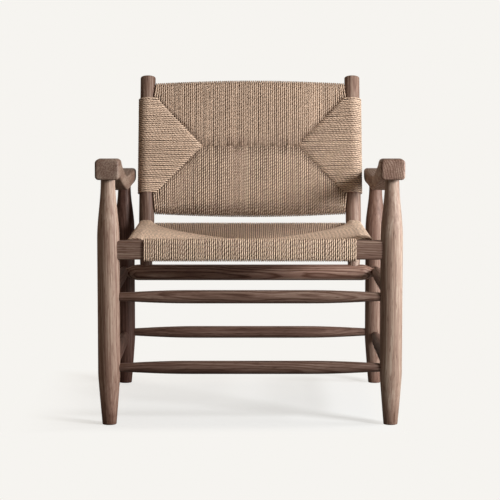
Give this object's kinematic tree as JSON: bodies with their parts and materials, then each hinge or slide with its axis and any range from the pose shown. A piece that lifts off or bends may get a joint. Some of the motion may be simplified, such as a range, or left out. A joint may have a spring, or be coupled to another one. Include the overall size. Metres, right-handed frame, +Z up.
{
  "type": "armchair",
  "caption": "Low wooden armchair with turned legs and stretchers, sculpted arms, and a seat and leaning back woven from paper cord.",
  "frame": {"origin": "on the floor, under the middle of the chair's overall box", "axes": "+Z up, the front of the seat faces -Y, and the left arm, seen from the front, is at -X"},
  "size_m": [0.668, 0.67, 0.7539],
  "materials": {
    "walnut": "oiled dark walnut with a fine open grain, satin",
    "paper_cord": "twisted natural paper cord, close-woven, matt with a faint sheen"
  },
  "bodies": {
    "root": {"leg_front_left": "walnut", "leg_front_right": "walnut", "leg_rear_left": "walnut", "leg_rear_right": "walnut", "arm_left": "walnut", "arm_right": "walnut", "front_upper_stretcher": "walnut", "front_lower_stretcher": "walnut", "rear_lower_stretcher": "walnut", "side_upper_stretcher_left": "walnut", "side_upper_stretcher_right": "walnut", "side_lower_stretcher_left": "walnut", "side_lower_stretcher_right": "walnut", "front_seat_rail": "walnut", "side_seat_rail_left": "walnut", "side_seat_rail_right": "walnut", "rear_seat_rail": "walnut", "cross_rail": "walnut", "back_post_left": "walnut", "back_post_right": "walnut", "low_back_rail": "walnut", "high_back_rail": "walnut", "seat_weave": "paper_cord", "back_weave": "paper_cord"}
  },
  "joints": []
}
